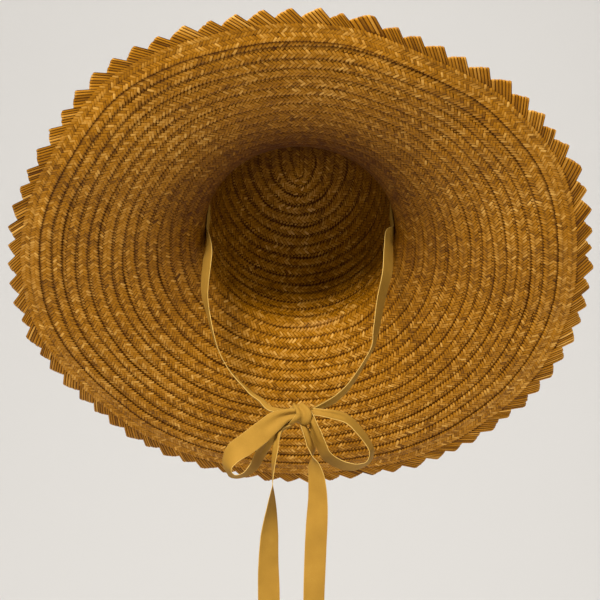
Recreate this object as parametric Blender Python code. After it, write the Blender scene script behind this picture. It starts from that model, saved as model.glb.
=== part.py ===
"""Wide-brim sewn-straw sun hat with ribbon ties and a bow, as it sits when it is worn tipped back.

Metres, +Z up, front towards -Y. The origin is the centre of the head opening, where a head holds the hat.
The straw pieces are modelled upright in the hat's own frame and leant back together by the hat_lean empty.
The ribbon pieces hang plumb, so they are modelled as worn.
"""

import bisect
import math

import bmesh
import bpy
from mathutils import Matrix, Vector

# Head opening and crown
HEAD_WIDTH = 0.152
HEAD_LENGTH = 0.186
CROWN_DEPTH = 0.100
CROWN_TIP_REACH = 0.005
CROWN_FULLNESS = 2.6
LEAN_BACK = math.radians(47)

# Brim, measured along its slope from the head opening to the points of the edge
BRIM_WIDTH = 0.161
EDGE_WIDTH = 0.024
TOOTH_DEPTH = 0.0098

# Straw plait and its lapped rows
PLAIT_PITCH = 0.0091
PLAIT_LAP = 0.0030
PLAIT_THICKNESS = 0.0012
PIECE_GAP = 0.0003

# Ribbon, bow and knot
RIBBON_WIDTH = 0.016
RIBBON_THICKNESS = 0.0010
SEWN_LENGTH = 0.030
SEWN_GAP = 0.0004
FALL_GAP = 0.0012
KNOT_SIDE = -0.0007
KNOT_FORWARD = 0.080
KNOT_DROP = 0.135
KNOT_WIDTH = 0.0175
KNOT_HEIGHT = 0.0150
KNOT_DEPTH = 0.0150
KNOT_ROUNDING = 0.0036
KNOT_GAP = 0.0006
LOOP_REACH = 0.0435
TAIL_LENGTH = 0.146

# The hat is turned in flat segments that all its pieces share, with two edge teeth to a segment
SEGMENTS = 38
TEETH_PER_SEGMENT = 2
PROFILE_STEPS = 400
BEND_STEP = math.radians(16)
ROUTE_STEPS = 2
KNOT_BEVEL_STEPS = 3
SHARP_ANGLE = math.radians(34)

# The brim's slope below the hat's own level, from the head opening out to the rim
# columns: share of the brim's width, droop in degrees
BRIM_DROOP = (
    (0.00, 90),
    (0.06, 50),
    (0.12, 30),
    (0.25, 23),
    (0.45, 16),
    (0.70, 10),
    (0.86, 2),
    (1.00, -6),
)

# How the soft rim strays from an even oval, growing from nothing at the head opening
# columns: angle from the front in degrees, extra reach, extra height, both in shares of the brim's width
RIM_SWAY = (
    (-150, 0.006, 0.000),
    (-125, -0.006, 0.000),
    (-103, 0.016, 0.000),
    (-82, 0.000, 0.000),
    (-59, -0.016, -0.020),
    (-38, 0.016, 0.022),
    (-15, 0.006, 0.008),
    (8, 0.006, 0.006),
    (27, -0.014, -0.022),
    (45, 0.006, -0.004),
    (62, 0.018, 0.000),
    (84, 0.002, 0.000),
    (107, 0.028, 0.000),
    (128, 0.044, 0.000),
    (150, 0.040, 0.000),
    (172, 0.010, 0.000),
)
SWAY_GROWTH = 1.5

# Ribbon routes. A row is one section: where its middle lies, which way its width runs, at any length, and
# what share of the full width it has where the knot gathers it.

# Ties, from below the head opening to the knot
# columns: out in shares of half the head's width, forward and down in shares of the knot's own place,
# width x, y and z, share of the full width
TIE_LEFT_ROUTE = (
    (0.943, 0.225, 0.126, 0.45, -0.89, 0.00, 1.00),
    (0.975, 0.195, 0.311, 0.40, -0.92, 0.00, 1.00),
    (0.934, 0.255, 0.452, 0.20, -0.98, 0.00, 1.00),
    (0.842, 0.375, 0.637, 0.10, -0.99, 0.00, 1.00),
    (0.711, 0.500, 0.770, 0.00, -1.00, 0.10, 1.00),
    (0.513, 0.670, 0.880, 0.00, -0.99, -0.05, 0.90),
    (0.395, 0.760, 0.928, 0.00, -0.98, -0.18, 0.75),
    (0.290, 0.850, 0.975, 0.00, -0.96, -0.26, 0.55),
)
TIE_RIGHT_ROUTE = (
    (0.914, 0.112, 0.022, -0.38, -0.80, 0.30, 1.00),
    (0.905, 0.165, 0.095, -0.45, -0.87, 0.00, 1.00),
    (0.888, 0.250, 0.215, -0.50, -0.87, 0.00, 1.00),
    (0.820, 0.312, 0.378, -0.42, -0.90, 0.00, 1.00),
    (0.763, 0.400, 0.556, -0.30, -0.95, 0.05, 1.00),
    (0.705, 0.490, 0.670, -0.10, -0.98, 0.15, 1.00),
    (0.511, 0.650, 0.841, 0.00, -0.88, 0.42, 0.95),
    (0.372, 0.750, 0.918, 0.00, -0.86, 0.48, 0.80),
    (0.257, 0.825, 0.955, 0.00, -0.86, 0.50, 0.60),
)
# Where a tie enters the knot
# columns: back and up from the knot's middle in shares of its depth and height, width x, y, z, share
TIE_LEFT_ENTRY = (0.200, 0.100, 0.00, -0.95, -0.30, 0.34)
TIE_RIGHT_ENTRY = (0.267, 0.100, 0.00, -0.85, 0.52, 0.34)

# Bow loops, out of the knot's side and back into it
# columns: out, forward and up in shares of the loop's reach, width x, y and z, share of the full width
LOOP_LEFT_ROUTE = (
    (0.000, 0.069, -0.020, 0.00, 0.00, -1.00, 0.45),
    (0.195, 0.120, -0.120, 0.55, 0.00, -0.83, 0.90),
    (0.420, 0.165, -0.305, 0.60, 0.00, -0.80, 1.00),
    (0.660, 0.190, -0.490, 0.66, -0.10, -0.75, 1.00),
    (0.865, 0.190, -0.630, 0.65, -0.45, -0.60, 1.00),
    (0.990, 0.165, -0.805, 0.50, -0.80, -0.25, 1.00),
    (0.995, 0.115, -0.935, 0.35, -0.93, 0.00, 1.00),
    (0.900, 0.070, -1.045, 0.15, -0.95, 0.25, 1.00),
    (0.735, 0.000, -1.035, 0.00, -0.95, 0.30, 1.00),
    (0.560, -0.070, -0.900, -0.27, -0.88, 0.38, 1.00),
    (0.445, -0.120, -0.700, -0.40, -0.86, 0.30, 1.00),
    (0.300, -0.140, -0.490, -0.38, -0.88, 0.28, 0.90),
    (0.115, -0.120, -0.250, -0.20, -0.97, 0.12, 0.55),
    (0.000, -0.020, -0.130, 0.00, -1.00, 0.00, 0.38),
)
LOOP_RIGHT_ROUTE = (
    (0.000, 0.062, 0.044, 0.00, -0.82, -0.57, 0.45),
    (0.165, 0.115, 0.030, -0.05, -0.92, -0.38, 0.70),
    (0.360, 0.160, -0.002, -0.05, -0.93, -0.36, 0.95),
    (0.595, 0.184, -0.078, -0.08, -0.93, -0.34, 1.00),
    (0.790, 0.184, -0.262, -0.20, -0.93, -0.25, 1.00),
    (0.950, 0.184, -0.478, -0.24, -0.95, -0.12, 1.00),
    (1.012, 0.184, -0.632, -0.25, -0.96, 0.00, 1.00),
    (0.964, 0.160, -0.790, -0.20, -0.96, 0.12, 1.00),
    (0.853, 0.138, -0.860, -0.12, -0.95, 0.25, 1.00),
    (0.680, 0.092, -0.892, 0.00, -0.93, 0.34, 1.00),
    (0.462, 0.046, -0.830, 0.10, -0.93, 0.32, 1.00),
    (0.270, 0.010, -0.674, 0.18, -0.94, 0.26, 1.00),
    (0.150, -0.020, -0.470, 0.22, -0.95, 0.14, 0.95),
    (0.085, -0.046, -0.240, 0.20, -0.96, 0.05, 0.70),
    (0.000, -0.046, -0.103, 0.00, -1.00, 0.05, 0.40),
)

# Tails, from under the knot to their slanted ends
# columns: sideways, forward and down in shares of the tail's length, width x, y and z,
# share of the full width
TAIL_LEFT_ROUTE = (
    (-0.041, 0.008, 0.000, 0.30, -0.95, 0.00, 0.35),
    (-0.088, 0.004, 0.022, 0.30, -0.95, 0.00, 0.35),
    (-0.109, 0.026, 0.073, 0.30, -0.95, 0.00, 0.55),
    (-0.119, 0.046, 0.129, 0.26, -0.96, 0.00, 0.85),
    (-0.130, 0.055, 0.200, 0.16, -0.98, 0.00, 1.00),
    (-0.134, 0.060, 0.300, 0.00, -1.00, 0.00, 1.00),
    (-0.139, 0.062, 0.412, -0.42, -0.90, 0.00, 1.00),
    (-0.149, 0.062, 0.553, -0.80, -0.60, 0.00, 1.00),
    (-0.154, 0.060, 0.695, -0.91, -0.41, 0.00, 1.00),
    (-0.152, 0.055, 0.837, -1.00, -0.09, 0.00, 1.00),
    (-0.151, 0.050, 1.000, -1.00, 0.00, 0.18, 1.00),
)
TAIL_RIGHT_ROUTE = (
    (0.020, 0.000, 0.000, -0.45, -0.89, 0.00, 0.45),
    (0.047, 0.012, 0.057, -0.45, -0.89, 0.00, 0.85),
    (0.062, 0.026, 0.112, -0.38, -0.92, 0.00, 1.00),
    (0.066, 0.034, 0.158, 0.00, -1.00, 0.00, 1.00),
    (0.074, 0.038, 0.200, 0.52, -0.85, 0.00, 1.00),
    (0.088, 0.042, 0.271, 0.76, -0.65, 0.00, 1.00),
    (0.094, 0.044, 0.377, 0.88, -0.48, 0.00, 1.00),
    (0.088, 0.046, 0.519, 1.00, -0.09, 0.00, 1.00),
    (0.083, 0.046, 0.624, 1.00, 0.00, 0.00, 1.00),
    (0.075, 0.046, 0.850, 0.95, 0.25, 0.00, 1.00),
    (0.073, 0.046, 1.020, 0.95, 0.28, -0.18, 1.00),
)

# Finishes
# columns: name, red, green, blue, roughness
STRAW = ("straw", 0.350, 0.160, 0.035, 0.55)
EDGE_STRAW = ("edge_straw", 0.400, 0.200, 0.050, 0.50)
RIBBON = ("ribbon", 0.600, 0.350, 0.080, 0.60)


def clear_scene():
    for old in list(bpy.data.objects):
        bpy.data.objects.remove(old, do_unlink=True)


def finish_of(name, red, green, blue, roughness):
    made = bpy.data.materials.new(name)
    made.use_nodes = True
    shader = made.node_tree.nodes["Principled BSDF"]
    shader.inputs["Base Color"].default_value = (red, green, blue, 1.0)
    shader.inputs["Roughness"].default_value = roughness
    shader.inputs["Metallic"].default_value = 0.0
    made.diffuse_color = (red, green, blue, 1.0)
    return made


def mix(low, high, share):
    return low + (high - low) * share


def read_table(table, place, column):
    """A straight reading between the rows of a table whose first column rises."""
    for low, high in zip(table, table[1:]):
        if place <= high[0]:
            return mix(low[column], high[column], (place - low[0]) / (high[0] - low[0]))
    return table[-1][column]


def rim_sway(angle, column):
    """An eased reading round the rim, where the table's last row leads back to its first."""
    first = RIM_SWAY[0][0]
    degrees = (math.degrees(angle) - first) % 360 + first
    rows = RIM_SWAY + ((first + 360, *RIM_SWAY[0][1:]),)
    for low, high in zip(rows, rows[1:]):
        if degrees <= high[0]:
            share = (degrees - low[0]) / (high[0] - low[0])
            return mix(low[column], high[column], share * share * (3 - 2 * share))
    return rows[-1][column]


class Profile:
    """The hat's middle surface in section, from the crown's tip to the rim, read by length along it."""

    def __init__(self, points):
        self.points = points
        self.lengths = [0.0]
        for low, high in zip(points, points[1:]):
            self.lengths.append(self.lengths[-1] + (high - low).length)

    def along(self, length):
        """The span of the profile that holds a length."""
        index = bisect.bisect_right(self.lengths, length) - 1
        return min(max(index, 0), len(self.points) - 2)

    def direction(self, length):
        index = self.along(length)
        return (self.points[index + 1] - self.points[index]).normalized()

    def point(self, length, offset):
        """A place at a length, stood off to the outer side, as reach and height."""
        index = self.along(length)
        along = self.direction(length)
        outward = Vector((-along.y, along.x))
        return self.points[index] + along * (length - self.lengths[index]) + outward * offset

    def spread(self, start, end):
        """Lengths from start to end, with more of them where the profile bends."""
        bend = self.direction(start).angle(self.direction(end))
        count = 1 + int(bend / BEND_STEP)
        return [mix(start, end, index / count) for index in range(count + 1)]


def crown_points():
    """A full round crown from beside its tip down to the head opening, on a superellipse."""
    half = HEAD_WIDTH / 2
    power = 2 / CROWN_FULLNESS
    first_turn = math.asin((CROWN_TIP_REACH / half) ** (1 / power))
    points = []
    for index in range(PROFILE_STEPS + 1):
        turn = mix(first_turn, math.pi / 2, index / PROFILE_STEPS)
        height = CROWN_DEPTH * max(math.cos(turn), 0.0) ** power
        points.append(Vector((half * math.sin(turn) ** power, height)))
    return points


def brim_points():
    """The brim from the head opening out to the rim, by its droop."""
    points = [Vector((HEAD_WIDTH / 2, 0.0))]
    for index in range(PROFILE_STEPS):
        droop = math.radians(read_table(BRIM_DROOP, (index + 0.5) / PROFILE_STEPS, 1))
        points.append(points[-1] + Vector((math.cos(droop), -math.sin(droop))) * BRIM_WIDTH / PROFILE_STEPS)
    return points


HAT = Profile(crown_points() + brim_points()[1:])
OPENING = HAT.lengths[PROFILE_STEPS]
EDGE_SEAM = OPENING + BRIM_WIDTH - EDGE_WIDTH
RIM = OPENING + BRIM_WIDTH
RIM_REACH = HAT.points[-1].x

CROWN_ROWS = round(OPENING / PLAIT_PITCH)
CROWN_PITCH = OPENING / CROWN_ROWS
BRIM_ROWS = round((EDGE_SEAM - OPENING) / PLAIT_PITCH)
BRIM_PITCH = (EDGE_SEAM - OPENING) / BRIM_ROWS

LAP_RISE = PLAIT_THICKNESS + PIECE_GAP
HALF_PLAIT = PLAIT_THICKNESS / 2


def row_lean(beyond, pitch):
    """How far a lapped row's middle stands off the profile, at a distance beyond its inner margin."""
    return LAP_RISE * (beyond - (pitch + PLAIT_LAP) / 2) / pitch


def lapped_face(first_margin, pitch, rows, side):
    """One face of lapped rows, from the innermost outward. side is 1 on top and -1 underneath."""
    points = []
    for row in range(rows):
        margin = first_margin + row * pitch
        lapped = side > 0 or row == rows - 1
        start = margin + (PLAIT_LAP if side > 0 else 0.0)
        end = margin + pitch + (PLAIT_LAP if lapped else 0.0)
        if side > 0 and row == 0:
            points.append(HAT.point(margin, row_lean(0.0, pitch) + HALF_PLAIT))
        for length in HAT.spread(start, end):
            points.append(HAT.point(length, row_lean(length - margin, pitch) + side * HALF_PLAIT))
    return points


def oval_place(reach, height, angle):
    """A point of the round hat eased on to the oval head, with the rim's sway."""
    half = HEAD_WIDTH / 2
    longer = (HEAD_LENGTH - HEAD_WIDTH) / 2
    outward = max((reach - half) / (RIM_REACH - half), 0.0)
    grown = BRIM_WIDTH * outward ** SWAY_GROWTH
    reach += rim_sway(angle, 1) * grown
    height += rim_sway(angle, 2) * grown
    return Vector((reach * math.sin(angle), -(reach + longer) * math.cos(angle), height))


def hat_place(reach, height, angle):
    """The same point on the flat segment that all the straw pieces share."""
    step = 2 * math.pi / SEGMENTS
    station = math.floor(angle / step + 1e-5)
    near = oval_place(reach, height, station * step)
    far = oval_place(reach, height, (station + 1) * step)
    return near.lerp(far, max(angle / step - station, 0.0))


def turned(section, steps, closed):
    """A bmesh of a section, drawn in reach and height, spun once round the hat's own axis."""
    bm = bmesh.new()
    verts = [bm.verts.new((0.0, -point.x, point.y)) for point in section]
    edges = [bm.edges.new(pair) for pair in zip(verts, verts[1:])]
    if closed:
        edges.append(bm.edges.new((verts[-1], verts[0])))
    bmesh.ops.spin(
        bm,
        geom=verts + edges,
        cent=(0, 0, 0),
        axis=(0, 0, 1),
        angle=2 * math.pi,
        steps=steps,
        use_merge=True,
    )
    return bm


def turn_of(vert):
    return math.atan2(vert.co.x, -vert.co.y) % (2 * math.pi)


def ease_on_to_oval(bm):
    for vert in bm.verts:
        vert.co = hat_place(math.hypot(vert.co.x, vert.co.y), vert.co.z, turn_of(vert))


def add_piece(name, bm, finish, parent=None):
    bmesh.ops.recalc_face_normals(bm, faces=bm.faces)
    mesh = bpy.data.meshes.new(name)
    bm.to_mesh(mesh)
    bm.free()
    mesh.materials.append(finish)
    mesh.shade_smooth()
    mesh.set_sharp_from_angle(angle=SHARP_ANGLE)
    piece = bpy.data.objects.new(name, mesh)
    bpy.context.collection.objects.link(piece)
    piece.parent = parent
    return piece


def add_crown(finish, parent):
    """Lapped rows outside and a plain wall inside, stepped back round the brim's first row."""
    last_margin = OPENING - CROWN_PITCH
    section = lapped_face(0.0, CROWN_PITCH, CROWN_ROWS, 1)
    for length in (OPENING + PLAIT_LAP, OPENING - PIECE_GAP):
        section.append(HAT.point(length, row_lean(length - last_margin, CROWN_PITCH) - HALF_PLAIT))
    inside = row_lean(0.0, CROWN_PITCH) - HALF_PLAIT
    for length in [OPENING - PIECE_GAP] + HAT.spread(OPENING - SEWN_LENGTH, 0.0):
        section.append(HAT.point(length, inside))
    bm = turned(section, SEGMENTS, closed=False)
    bmesh.ops.holes_fill(bm, edges=[edge for edge in bm.edges if edge.is_boundary], sides=SEGMENTS)
    ease_on_to_oval(bm)
    return add_piece("crown", bm, finish, parent)


def add_brim(finish, parent):
    section = lapped_face(OPENING, BRIM_PITCH, BRIM_ROWS, 1)
    section += reversed(lapped_face(OPENING, BRIM_PITCH, BRIM_ROWS, -1))
    bm = turned(section, SEGMENTS, closed=True)
    ease_on_to_oval(bm)
    return add_piece("brim", bm, finish, parent)


def add_edge_braid(finish, parent):
    """The outermost plait, lapped under the brim and cut into teeth round the rim."""
    section = []
    for side in (1, -1):
        face = []
        for beyond in (0.0, (BRIM_PITCH + PLAIT_LAP) / 2, EDGE_WIDTH):
            lean = min(row_lean(beyond, BRIM_PITCH), 0.0)
            face.append(HAT.point(EDGE_SEAM + beyond, lean + side * HALF_PLAIT))
        section += face if side > 0 else reversed(face)
    stations = 2 * TEETH_PER_SEGMENT * SEGMENTS
    bm = turned(section, stations, closed=True)
    for vert in bm.verts:
        station = round(turn_of(vert) * stations / (2 * math.pi))
        reach = math.hypot(vert.co.x, vert.co.y)
        if station % 2 == 0 or reach < RIM_REACH - TOOTH_DEPTH / 2:
            continue
        side = 1 if vert.co.z > HAT.points[-1].y else -1
        notch = HAT.point(RIM - TOOTH_DEPTH, side * HALF_PLAIT)
        vert.co = (vert.co.x * notch.x / reach, vert.co.y * notch.x / reach, notch.y)
    ease_on_to_oval(bm)
    return add_piece("edge_braid", bm, finish, parent)


def knot_place(side, forward, up):
    """A place measured from the knot's middle."""
    return Vector((KNOT_SIDE + side, -KNOT_FORWARD - forward, up - KNOT_DROP))


def add_knot(finish):
    bm = bmesh.new()
    bmesh.ops.create_cube(bm, size=1.0)
    bmesh.ops.scale(bm, vec=(KNOT_WIDTH, KNOT_DEPTH, KNOT_HEIGHT), verts=bm.verts)
    bmesh.ops.bevel(
        bm,
        geom=bm.edges[:] + bm.verts[:],
        offset=KNOT_ROUNDING,
        offset_type="OFFSET",
        segments=KNOT_BEVEL_STEPS,
        profile=0.5,
        affect="EDGES",
        material=-1,
    )
    knot = add_piece("bow_knot", bm, finish)
    knot.location = knot_place(0.0, 0.0, 0.0)
    return knot


def smooth_between(before, low, high, after, share):
    """A point on the smooth curve through low and high, at a share of the way between them."""
    square = share * share
    cube = square * share
    return (
        low * 2
        + (high - before) * share
        + (before * 2 - low * 5 + high * 4 - after) * square
        + (low * 3 - before - high * 3 + after) * cube
    ) / 2


def add_ribbon(name, sections, finish):
    """A ribbon along a smooth curve through its sections: middle, width direction, share of the width."""
    middles, widths = [], []
    last = len(sections) - 1
    for index in range(last):
        around = [sections[min(max(index + step, 0), last)][0] for step in (-1, 0, 1, 2)]
        _, low_width, low_share = sections[index]
        _, high_width, high_share = sections[index + 1]
        for step in range(ROUTE_STEPS):
            share = step / ROUTE_STEPS
            width = low_width.normalized().lerp(high_width.normalized(), share)
            middles.append(smooth_between(*around, share))
            widths.append((width, mix(low_share, high_share, share)))
    middles.append(sections[-1][0])
    widths.append(sections[-1][1:])
    rows = len(middles) - 1
    bm = bmesh.new()
    bmesh.ops.create_grid(bm, x_segments=1, y_segments=rows, size=0.5)
    for vert in bm.verts:
        row = round((vert.co.y + 0.5) * rows)
        width, share = widths[row]
        if 0 < row < rows:
            along = (middles[row + 1] - middles[row - 1]).normalized()
            width = width - along * width.dot(along)
        vert.co = middles[row] + width.normalized() * RIBBON_WIDTH * share * vert.co.x
    piece = add_piece(name, bm, finish)
    wall = piece.modifiers.new("wall", "SOLIDIFY")
    wall.thickness = RIBBON_THICKNESS
    wall.offset = 0.0
    return piece


def add_tie(name, side, route, entry, finish):
    """A tie, sewn inside the crown at the temple, down past the face to the knot."""
    worn = Matrix.Rotation(-LEAN_BACK, 3, "X")
    wall = row_lean(0.0, CROWN_PITCH) - HALF_PLAIT - RIBBON_THICKNESS / 2
    sections = []
    for share in (1.0, 0.5, 0.0):
        point = HAT.point(OPENING - SEWN_LENGTH * share, wall - mix(FALL_GAP, SEWN_GAP, share))
        place = worn @ hat_place(point.x, point.y, math.pi / 2)
        sections.append((Vector((side * place.x, place.y, place.z)), worn @ Vector((0, -1, 0)), 1.0))
    for out, forward, down, wide_x, wide_y, wide_z, share in route:
        place = Vector((side * out * HEAD_WIDTH / 2, -forward * KNOT_FORWARD, -down * KNOT_DROP))
        sections.append((place, Vector((wide_x, wide_y, wide_z)), share))
    back, up, wide_x, wide_y, wide_z, share = entry
    place = knot_place(side * (KNOT_WIDTH / 2 + KNOT_GAP), -back * KNOT_DEPTH, up * KNOT_HEIGHT)
    sections.append((place, Vector((wide_x, wide_y, wide_z)), share))
    return add_ribbon(name, sections, finish)


def add_loop(name, side, route, finish):
    sections = []
    for out, forward, up, wide_x, wide_y, wide_z, share in route:
        beside = KNOT_WIDTH / 2 + KNOT_GAP + out * LOOP_REACH
        place = knot_place(side * beside, forward * LOOP_REACH, up * LOOP_REACH)
        sections.append((place, Vector((wide_x, wide_y, wide_z)), share))
    return add_ribbon(name, sections, finish)


def add_tail(name, route, finish):
    sections = []
    for sideways, forward, down, wide_x, wide_y, wide_z, share in route:
        below = KNOT_HEIGHT / 2 + KNOT_GAP + down * TAIL_LENGTH
        place = knot_place(sideways * TAIL_LENGTH, forward * TAIL_LENGTH, -below)
        sections.append((place, Vector((wide_x, wide_y, wide_z)), share))
    return add_ribbon(name, sections, finish)


def main():
    clear_scene()
    straw = finish_of(*STRAW)
    edge_straw = finish_of(*EDGE_STRAW)
    ribbon = finish_of(*RIBBON)

    hat_lean = bpy.data.objects.new("hat_lean", None)
    bpy.context.collection.objects.link(hat_lean)
    hat_lean.rotation_euler = (-LEAN_BACK, 0.0, 0.0)

    add_crown(straw, hat_lean)
    add_brim(straw, hat_lean)
    add_edge_braid(edge_straw, hat_lean)
    add_tie("tie_left", -1, TIE_LEFT_ROUTE, TIE_LEFT_ENTRY, ribbon)
    add_tie("tie_right", 1, TIE_RIGHT_ROUTE, TIE_RIGHT_ENTRY, ribbon)
    add_knot(ribbon)
    add_loop("bow_loop_left", -1, LOOP_LEFT_ROUTE, ribbon)
    add_loop("bow_loop_right", 1, LOOP_RIGHT_ROUTE, ribbon)
    add_tail("tail_left", TAIL_LEFT_ROUTE, ribbon)
    add_tail("tail_right", TAIL_RIGHT_ROUTE, ribbon)


main()
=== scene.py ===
# Wide-brim sewn-straw sun hat with ribbon ties and a bow.
#
# Metres, +Z up, front towards -Y. A place on the straw is given by its length along the hat's section,
# from the crown's tip over the head opening out to the rim, by its rise off the middle surface towards
# the outside, and by its angle round the hat from the front, positive towards the image's right.

import math

import bmesh
import bpy
import numpy as np
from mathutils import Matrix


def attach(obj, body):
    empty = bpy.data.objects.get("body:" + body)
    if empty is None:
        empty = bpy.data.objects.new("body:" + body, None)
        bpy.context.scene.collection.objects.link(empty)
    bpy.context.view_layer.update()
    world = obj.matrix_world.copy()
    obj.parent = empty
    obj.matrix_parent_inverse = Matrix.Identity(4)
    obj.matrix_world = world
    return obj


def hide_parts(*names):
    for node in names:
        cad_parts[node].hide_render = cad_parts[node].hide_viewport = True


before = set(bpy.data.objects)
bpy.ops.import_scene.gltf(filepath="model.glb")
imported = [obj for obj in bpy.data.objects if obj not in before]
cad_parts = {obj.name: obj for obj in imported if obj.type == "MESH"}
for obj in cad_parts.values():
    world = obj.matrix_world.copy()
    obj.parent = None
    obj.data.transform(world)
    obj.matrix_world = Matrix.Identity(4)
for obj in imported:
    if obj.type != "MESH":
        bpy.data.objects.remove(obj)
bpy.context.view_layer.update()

# Head opening and crown
HEAD_WIDTH = 0.152
HEAD_LENGTH = 0.186
CROWN_DEPTH = 0.100
CROWN_TIP_REACH = 0.005
CROWN_FULLNESS = 2.6
LEAN_BACK = math.radians(47)

# Brim, measured along its slope
BRIM_WIDTH = 0.161
EDGE_WIDTH = 0.024
PROFILE_STEPS = 400
SWAY_GROWTH = 1.5

# columns: share of the brim's width, droop in degrees
BRIM_DROOP = (
    (0.00, 90),
    (0.06, 50),
    (0.12, 30),
    (0.25, 23),
    (0.45, 16),
    (0.70, 10),
    (0.86, 2),
    (1.00, -6),
)

# columns: angle in degrees, extra reach, extra height, both in shares of the brim's width
RIM_SWAY = (
    (-150, 0.006, 0.000),
    (-125, -0.006, 0.000),
    (-103, 0.016, 0.000),
    (-82, 0.000, 0.000),
    (-59, -0.016, -0.020),
    (-38, 0.016, 0.022),
    (-15, 0.006, 0.008),
    (8, 0.006, 0.006),
    (27, -0.014, -0.022),
    (45, 0.006, -0.004),
    (62, 0.018, 0.000),
    (84, 0.002, 0.000),
    (107, 0.028, 0.000),
    (128, 0.044, 0.000),
    (150, 0.040, 0.000),
    (172, 0.010, 0.000),
)

# The plait that the hat is sewn from, in one spiral with its rows lapped
PLAIT_LAP = 0.0030
LAP_RISE = 0.0013
ROW_CROWN = 0.0006
BRIM_ROWS = 15
ROW_PITCH = (BRIM_WIDTH - EDGE_WIDTH) / BRIM_ROWS
PLAIT_WIDTH = ROW_PITCH + PLAIT_LAP
SPIRAL_START = math.radians(-90)
SPIRAL_END = 14.34
CORE_HALF = 0.00044
CORE_INSET = 0.0004
TIP_TURNS = 1.1
SEAM_PINCH = 0.0004
SLOW_WANDER = 0.0006
QUICK_WANDER = 0.00025
SPIRAL_SAMPLES = 360
CORE_STATIONS = 120

# The last turn widens, and its end is turned in under the toothed plait
LAST_WIDENING = 0.16
WIDENING_START = 1.4
WIDENING_TURNS = 0.4
LAST_TURN_IN = 0.0040
TURN_IN_TURNS = 0.1
UNDER_EDGE = 0.0007

# Shade along a seam, and in the rows next to the head opening
SEAM_SHADE = 0.0013
SEAM_SHADE_MIN = 0.0003
SEAM_SHADE_SHARE = 0.35
INNER_ROWS = 5.0
# The free margin of those rows keeps less of the painted shade, as a painted highlight
INNER_MARGIN = 0.0002
INNER_MARGIN_SHARE = 0.45

# Puckers that the sewing leaves in the outer rows, with finer ones at the image's right
PUCKER_HEIGHT = 0.0005
RIGHT_PUCKER_HEIGHT = 0.0002
RIGHT_PUCKER_ANGLE = 106
RIGHT_PUCKER_SPREAD = 30

# One straw where it shows between two crossings
STRAW_WIDTH = 0.0021
STRAW_LENGTH = 0.0050
BAND_HEIGHT = 0.0034
EDGE_BAND_HEIGHT = 0.00345
STRAW_RISE = 0.00036
STRAW_SUNK = 0.00008
BANDS = 3
STRAW_SLANT = math.radians(45)
STRAW_FILL = 0.97
STRAW_SHOULDER = 0.26
STRAW_ROUNDNESS = 0.55
BAND_STAGGER = 0.25
MARGIN_WRAP = 0.75
MARGIN_FALL = 0.5

# How much one straw differs from the next: shares, metres and degrees
LENGTH_SPREAD = 0.02
WIDTH_SPREAD = 0.03
LIFT_SPREAD = 0.15
SWING_SPREAD = 2.5
RUN_SPREAD = 0.00010
EDGE_SPREAD = 0.00008

# Tones of the straws: middle, spread, and how much lighter a few are, and how few
STRAW_TONES = (0.52, 0.15, 0.3, 0.025)
POINT_TONES = (0.46, 0.15, 0.4, 0.04)

# The toothed plait round the rim. A tooth is a right triangle whose long fold rises towards its tip.
TEETH = 76
TOOTH_ANGLE = 2 * math.pi / TEETH
TOOTH_PITCH = 0.0191
TOOTH_STRAWS = 6
TOOTH_STRAW_DEPTH = 0.0078
TOOTH_SHIFT = 0.09
TOOTH_SHIFT_MAX = 0.15
FOLD_SPREAD = 1.5
POINT_ROUNDING = 0.0007
POINT_STRAW_FILL = 0.93
POINT_STRAW_SPREAD = 0.03
POINT_DEPTH_SPREAD = 0.04
POINT_START_SPREAD = 0.00020
POINT_RISE = 0.00072
POINT_RISE_SPREAD = 0.00008
POINT_ROUNDNESS = 0.65
POINT_FOLD = 0.05
# Painted shade in the gaps and at the inner ends of the folded straws, and a painted highlight on their
# fold
POINT_GAP_SHADE = 0.36
POINT_END_SHADE = 0.4
POINT_FOLD_HIGHLIGHT = 0.5
EDGE_SLANT = math.radians(46)
EDGE_BANDS = 4
EDGE_STRAWS = 7
EDGE_BODY_INSET = 0.0007
EDGE_BODY_THINNER = 0.0001
EDGE_LAP_GAP = 0.0001

# How the teeth change round the rim
# columns: angle in degrees, rise of the fold above the rim's own line, slant of the straws from straight in
TOOTH_FORM = (
    (-150, 28, 50),
    (-90, 30, 53),
    (0, 27, 44),
    (90, 27, 50),
)

# columns: angle in degrees, width of the toothed plait from its inner margin to the tips
EDGE_INSET = (
    (-150, 0.0264),
    (-100, 0.0246),
    (-40, 0.0246),
    (10, 0.0262),
    (60, 0.0266),
    (150, 0.0266),
)

# Ribbon, bow and knot
RIBBON_WIDTH = 0.016
RIBBON_THICKNESS = 0.0004
SEWN_LENGTH = 0.030
SEWN_DEPTH = 0.0030
KNOT_SIDE = -0.0007
KNOT_FORWARD = 0.080
KNOT_DROP = 0.135
KNOT_WIDTH = 0.0175
KNOT_HEIGHT = 0.0150
KNOT_DEPTH = 0.0150
KNOT_GAP = 0.0006
LOOP_REACH = 0.0435
TAIL_LENGTH = 0.146
RIB_PITCH = 0.0010
RIB_HEIGHT = 0.00009
PLEATS = 1.5
PLEAT_HEIGHT = RIBBON_WIDTH / (6 * PLEATS)
NARROWEST = 0.05
SELVEDGE = 0.45
SPAN_SAMPLES = 16

# Where a ribbon's section has its stations, across the width
RIBBON_STATIONS = (-0.5, -0.46, -0.35, -0.23, -0.12, 0.0, 0.12, 0.23, 0.35, 0.46, 0.5)

# Ribbon routes. A row is one section: where its middle lies, which way its width runs, at any length, and
# what share of the full width it has where the knot gathers it.

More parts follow.
